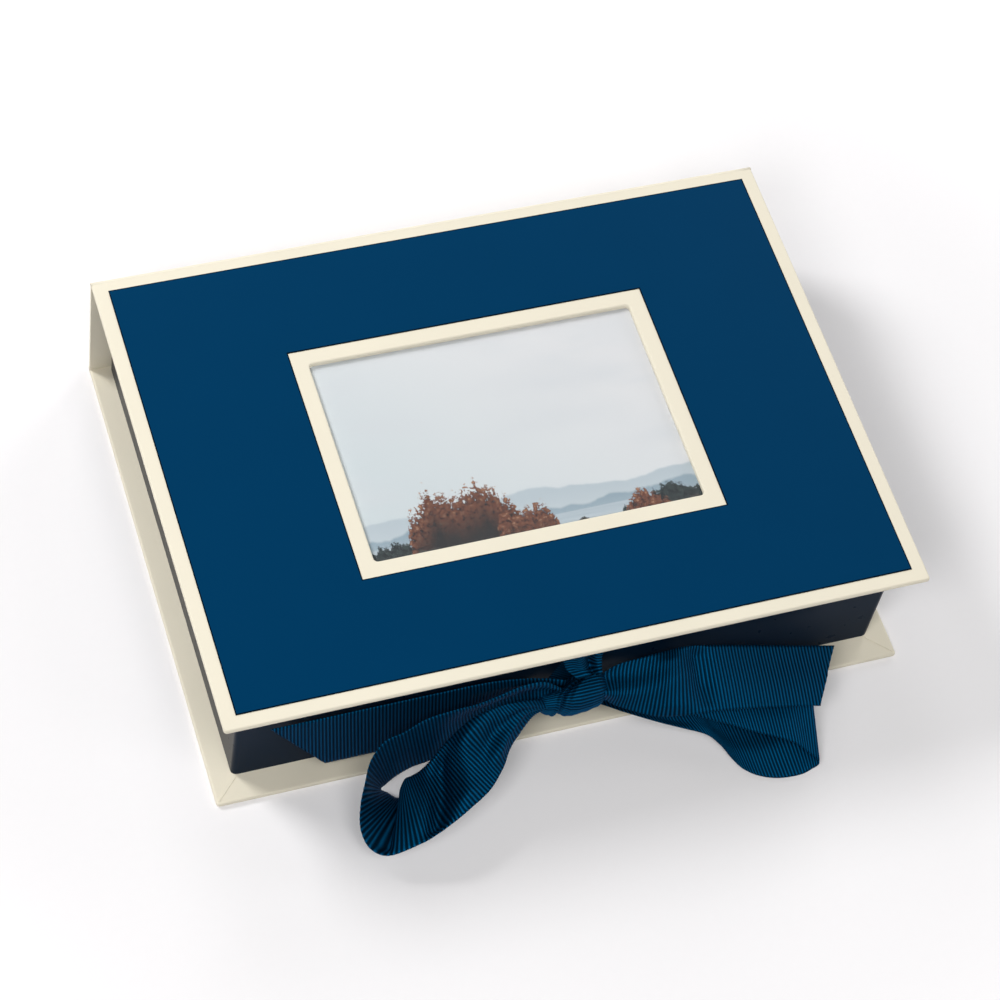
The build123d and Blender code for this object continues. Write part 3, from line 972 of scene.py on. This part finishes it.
def knot_reach(x, angle):
    """The knot's girth as part of the full one: a small lobe that hangs low, a ridge, a slanting
    crease and the main lobe, from left to right."""
    up = math.sin(angle - math.pi / 4)
    along = x + 5.4 - (3.0 + (3.9 + 3.2 * up) * up) * up
    share = (up + 1) / 2
    for (x0, *r0), (x1, *r1) in zip(knot_marks, knot_marks[1:]):
        if along <= x1 or x1 == knot_marks[-1][0]:
            s = min(max((along - x0) / (x1 - x0), 0.0), 1.0)
            s = s * s * (3 - 2 * s)
            low, high = (a + (b - a) * s for a, b in zip(r0, r1))
            break
    return low + (high - low) * share + 0.012 * math.sin(2.0 * angle + 0.5 * x)


class PHOTOBOX_OT_stage(bpy.types.Operator):
    """Table top, lamps, room light and the camera at the photograph's angle"""

    bl_idname = "photobox.stage"
    bl_label = "Stage"

    def execute(self, context):
        stage = context.scene.photobox_stage
        scene = context.scene
        far = TABLE_REACH
        top = [(-far, -far, 0.0), (far, -far, 0.0), (far, far, 0.0), (-far, far, 0.0)]
        floor = mesh_piece("table_top", top, [(0, 1, 2, 3)])
        floor.data.materials.append(floor_finish("table top", tuple(stage.floor)))

        world = bpy.data.worlds.new("room")
        scene.world = world
        world.use_nodes = True
        nodes, links = world.node_tree.nodes, world.node_tree.links
        background = nodes["Background"]
        background.inputs["Color"].default_value = (*WHITE, 1.0)
        path = nodes.new("ShaderNodeLightPath")
        seen = path.outputs["Is Camera Ray"]
        for ray in ("Is Glossy Ray", "Is Transmission Ray"):
            either = nodes.new("ShaderNodeMath")
            either.operation = "MAXIMUM"
            links.new(seen, either.inputs[0])
            links.new(path.outputs[ray], either.inputs[1])
            seen = either.outputs["Value"]
        level = nodes.new("ShaderNodeMapRange")
        level.inputs["To Min"].default_value = stage.sky
        level.inputs["To Max"].default_value = 1.0
        links.new(seen, level.inputs["Value"])
        links.new(level.outputs["Result"], background.inputs["Strength"])

        for name, turn, rise, share in LAMPS:
            lamp = bpy.data.lights.new(name, "AREA")
            lamp.shape = "DISK"
            lamp.size = LAMP_SIZE
            lamp.energy = share * stage.key_power
            light = bpy.data.objects.new(name, lamp)
            turn, rise = math.radians(turn), math.radians(rise)
            flat = math.cos(rise)
            away = Vector((flat * math.cos(turn), flat * math.sin(turn), math.sin(rise)))
            light.location = LAMP_AIM + LAMP_DISTANCE * away
            light.rotation_euler = (-away).to_track_quat("-Z", "Y").to_euler()
            scene.collection.objects.link(light)

        lens = bpy.data.cameras.new("photo camera")
        lens.sensor_width = CAMERA_SENSOR
        lens.lens = CAMERA_LENS
        lens.clip_start, lens.clip_end = CAMERA_CLIP
        camera = bpy.data.objects.new("photo camera", lens)
        camera.location = CAMERA_PLACE
        camera.rotation_euler = [math.radians(turn) for turn in CAMERA_TURN]
        scene.collection.objects.link(camera)
        scene.camera = camera
        scene.view_settings.view_transform = "Standard"
        return {"FINISHED"}


class PHOTOBOX_OT_ribbon_cloth(bpy.types.Operator):
    """The grosgrain that all the ribbon pieces share"""

    bl_idname = "photobox.ribbon_cloth"
    bl_label = "Ribbon Cloth"

    def execute(self, context):
        settings = context.scene.photobox_ribbon
        ribbon_finish("ribbon", tuple(settings.colour), settings.rib_pitch)
        return {"FINISHED"}


class PHOTOBOX_PT_panel(bpy.types.Panel):
    """Sidebar panel with the settings and the steps"""

    bl_label = "Photo Box"
    bl_idname = "PHOTOBOX_PT_panel"
    bl_space_type = "VIEW_3D"
    bl_region_type = "UI"
    bl_category = "Photo Box"

    def draw(self, context):
        for group in (
            context.scene.photobox_papers,
            context.scene.photobox_ribbon,
            context.scene.photobox_stage,
        ):
            box = self.layout.box()
            for name in group.bl_rna.properties.keys():
                if name not in ("rna_type", "name"):
                    box.prop(group, name)
        for operator in operators:
            self.layout.operator(operator.bl_idname)


# ---- the bow's course ----

# Each row is a line across the ribbon, in millimetres. Its two points are on the ribbon's first and
# second edge, each given by its place along the box, its distance out from the tray's front and its
# height. The folds are as in fold_rise, measured along and across the flat ribbon.

left_tail = [
    ((-3.0, 5.0, 30.0), (-5.0, 6.0, 20.0)),
    ((-11.0, 3.6, 32.0), (-11.0, 4.5, 18.5)),
    ((-20.0, 3.0, 34.0), (-18.5, 3.8, 16.5)),
    ((-31.0, 2.5, 35.0), (-29.5, 4.5, 13.5)),
    ((-45.0, 2.5, 35.0), (-44.0, 7.0, 10.0)),
    ((-63.0, 2.5, 35.0), (-62.0, 7.0, 10.0)),
    ((-81.0, 2.5, 35.0), (-80.0, 7.0, 10.0)),
    ((-95.0, 2.5, 35.0), (-94.3, 7.0, 10.0)),
    ((-108.5, 2.5, 35.0), (-108.0, 7.0, 10.0)),
]
left_tail_folds = [
    (6, 5, 30, 4, 0.5, 3.0),
    (8, 14, 42, 21, -1.2, 3.5),
]
left_loop = [
    ((-6.0, 8.0, 31.0), (-7.0, 9.0, 22.0)),
    ((-12.5, 7.0, 36.0), (-12.5, 8.6, 21.0)),
    ((-20.5, 6.8, 36.0), (-18.5, 7.8, 20.2)),
    ((-29.0, 7.8, 34.6), (-26.0, 7.2, 19.0)),
    ((-37.5, 9.0, 34.0), (-34.5, 8.0, 17.0)),
    ((-45.3, 10.1, 35.3), (-42.7, 10.8, 14.4)),
    ((-55.9, 11.1, 34.8), (-51.7, 14.9, 11.5)),
    ((-64.8, 13.8, 34.0), (-60.0, 15.4, 9.5)),
    ((-71.6, 14.9, 32.6), (-66.2, 17.1, 8.7)),
    ((-77.5, 19.0, 29.0), (-69.5, 17.5, 5.0)),
    ((-80.8, 24.6, 24.6), (-71.2, 17.9, 2.9)),
    ((-83.7, 30.5, 19.7), (-69.2, 19.6, 2.3)),
    ((-84.8, 36.5, 14.0), (-67.2, 22.5, 3.2)),
    ((-82.7, 42.5, 10.3), (-66.0, 24.2, 6.4)),
    ((-77.0, 46.4, 10.3), (-66.8, 23.6, 10.6)),
    ((-66.0, 46.5, 14.5), (-64.9, 21.7, 14.5)),
    ((-60.6, 45.4, 16.2), (-61.8, 20.3, 13.0)),
    ((-54.7, 43.3, 17.5), (-57.8, 18.3, 11.5)),
    ((-47.3, 39.8, 18.3), (-53.5, 16.5, 14.6)),
    ((-38.4, 34.7, 18.8), (-48.6, 14.5, 21.0)),
    ((-32.1, 28.5, 20.4), (-41.6, 13.3, 30.2)),
    ((-27.4, 21.6, 21.2), (-33.1, 11.8, 32.3)),
    ((-19.6, 14.6, 23.0), (-24.9, 11.3, 32.5)),
    ((-15.5, 11.6, 22.8), (-17.0, 10.8, 30.0)),
    ((-11.0, 10.0, 21.8), (-11.0, 9.8, 26.0)),
]
left_loop_folds = [
    (120, 24, 107, 3, -4.6, 3.6),
    (134, 23, 119, 2, 2.4, 4.5),
    (166, 14, 140, 7, 2.6, 3.4),
    (150, 24, 140, 14, -0.8, 3.0),
    (91, 25, 92, 3, -2.6, 1.7),
]
right_tail = [
    ((6.0, 7.5, 29.0), (6.0, 12.5, 25.0)),
    ((10.4, 6.3, 30.0), (9.6, 13.0, 24.0)),
    ((16.9, 4.5, 30.8), (12.8, 15.0, 21.8)),
    ((25.4, 4.0, 31.2), (19.0, 18.0, 20.0)),
    ((33.8, 4.0, 32.3), (27.5, 21.8, 19.0)),
    ((40.9, 4.0, 32.6), (38.0, 24.6, 20.6)),
    ((50.0, 4.0, 29.9), (48.5, 25.3, 20.3)),
    ((67.9, 5.0, 24.3), (66.0, 27.0, 18.3)),
    ((85.8, 7.0, 20.0), (83.5, 29.2, 15.8)),
    ((100.0, 8.6, 17.0), (97.0, 31.2, 13.0)),
]
right_tail_folds = [
    (8, 18, 26, 12, -1.4, 5.0),
    (27, 0, 28.5, 19, -2.4, 5.5),
    (39, 0, 40, 13, 2.7, 4.0),
]
right_loop = [
    ((5.0, 5.5, 20.0), (5.0, 10.0, 17.0)),
    ((10.0, 4.7, 19.7), (10.0, 10.3, 15.4)),
    ((17.0, 4.5, 20.0), (20.0, 14.9, 12.1)),
    ((25.0, 5.0, 17.0), (30.7, 19.6, 9.0)),
    ((32.0, 4.5, 14.5), (39.2, 22.5, 6.2)),
    ((38.0, 5.5, 13.0), (47.0, 25.7, 4.1)),
    ((43.0, 8.0, 11.0), (51.2, 30.0, 2.2)),
    ((48.0, 13.0, 8.0), (53.8, 35.6, 1.1)),
    ((52.0, 16.5, 6.0), (56.5, 40.4, 0.9)),
    ((59.0, 20.0, 6.5), (61.2, 44.4, 0.9)),
    ((66.0, 23.0, 7.0), (68.0, 47.0, 1.0)),
    ((74.0, 24.0, 9.0), (75.5, 47.8, 1.6)),
    ((80.5, 23.8, 10.6), (80.0, 47.0, 2.3)),
    ((84.5, 23.2, 11.7), (82.3, 46.4, 2.7)),
    ((86.4, 22.8, 13.2), (83.0, 45.8, 3.7)),
    ((85.4, 21.7, 14.7), (82.0, 44.7, 5.2)),
    ((82.0, 19.5, 15.5), (79.3, 42.5, 7.0)),
    ((77.0, 16.0, 17.0), (75.3, 39.2, 9.5)),
    ((69.0, 12.5, 17.5), (68.6, 35.4, 10.5)),
    ((60.0, 9.0, 19.0), (61.0, 31.5, 11.0)),
    ((50.0, 6.0, 21.0), (53.0, 27.5, 12.5)),
    ((40.0, 5.0, 23.0), (43.0, 23.0, 14.5)),
    ((27.0, 4.5, 24.0), (30.0, 17.5, 17.5)),
    ((17.5, 4.0, 25.0), (18.5, 12.5, 20.0)),
    ((10.0, 4.1, 25.0), (10.0, 10.2, 20.0)),
    ((5.0, 5.0, 24.5), (5.0, 9.5, 21.0)),
]
right_loop_folds = [
    (30, 22, 52, 12, 0.8, 3.0),
    (50, 20, 72, 14, -0.8, 4.0),
]
base_strap = [
    ((-12.4, 0.35, 2.05), (12.4, 0.35, 2.05)),
    ((-12.0, 0.40, 8.0), (12.0, 0.40, 8.0)),
    ((-10.0, 0.45, 15.0), (10.5, 0.45, 15.0)),
    ((-6.5, 0.50, 24.0), (8.5, 0.50, 24.0)),
    ((-2.5, 0.45, 34.8), (6.5, 0.45, 34.8)),
]
lid_strap = [
    ((-8.0, 2.0, lid_underside), (17.0, 2.0, lid_underside)),
    ((-6.8, 2.2, 47.0), (13.0, 2.2, 47.0)),
    ((-5.0, 2.9, 40.0), (9.8, 2.9, 40.0)),
    ((-3.4, 4.8, 35.6), (9.3, 4.8, 35.6)),
    ((-0.5, 8.2, strap_foot), (8.8, 8.2, strap_foot)),
]
lid_strap_folds = [
    (0, 17, 24, 18, -3.4, 2.4),
    (2, 9, 16, 10, 1.4, 3.2),
]

# The knot from left to right: place in millimetres from the crease, and its share of the full
# girth below and above
knot_marks = [
    (-12.0, 0.48, 0.28),
    (-8.5, 0.68, 0.34),
    (-5.0, 0.76, 0.42),
    (-2.6, 0.80, 0.54),
    (-1.3, 0.90, 0.74),
    (0.0, 0.66, 0.48),
    (1.4, 0.86, 0.76),
    (3.4, 1.02, 0.95),
    (6.0, 1.08, 1.0),
    (10.0, 1.02, 1.0),
    (14.0, 0.92, 1.0),
    (22.0, 0.88, 0.96),
]


# ---- the add-on ----

settings_groups = (PaperSettings, RibbonSettings, StageSettings)
operators = (
    PHOTOBOX_OT_papers,
    PHOTOBOX_OT_panel_sheet,
    PHOTOBOX_OT_window,
    PHOTOBOX_OT_turn_ins,
    PHOTOBOX_OT_hinge,
    PHOTOBOX_OT_ribbon_cloth,
    PHOTOBOX_OT_loops,
    PHOTOBOX_OT_tails,
    PHOTOBOX_OT_straps,
    PHOTOBOX_OT_knot,
    PHOTOBOX_OT_stage,
)


def register():
    for cls in (*settings_groups, *operators, PHOTOBOX_PT_panel):
        bpy.utils.register_class(cls)
    bpy.types.Scene.photobox_papers = PointerProperty(type=PaperSettings)
    bpy.types.Scene.photobox_ribbon = PointerProperty(type=RibbonSettings)
    bpy.types.Scene.photobox_stage = PointerProperty(type=StageSettings)


def unregister():
    del bpy.types.Scene.photobox_stage
    del bpy.types.Scene.photobox_ribbon
    del bpy.types.Scene.photobox_papers
    for cls in (PHOTOBOX_PT_panel, *reversed(operators), *reversed(settings_groups)):
        bpy.utils.unregister_class(cls)


def main():
    register()
    bpy.ops.photobox.papers()
    bpy.ops.photobox.panel_sheet()
    bpy.ops.photobox.window()
    bpy.ops.photobox.turn_ins()
    bpy.ops.photobox.hinge()
    bpy.ops.photobox.ribbon_cloth()
    bpy.ops.photobox.loops()
    bpy.ops.photobox.tails()
    bpy.ops.photobox.straps()
    bpy.ops.photobox.knot()
    bpy.ops.photobox.stage()


if __name__ == "__main__":
    main()
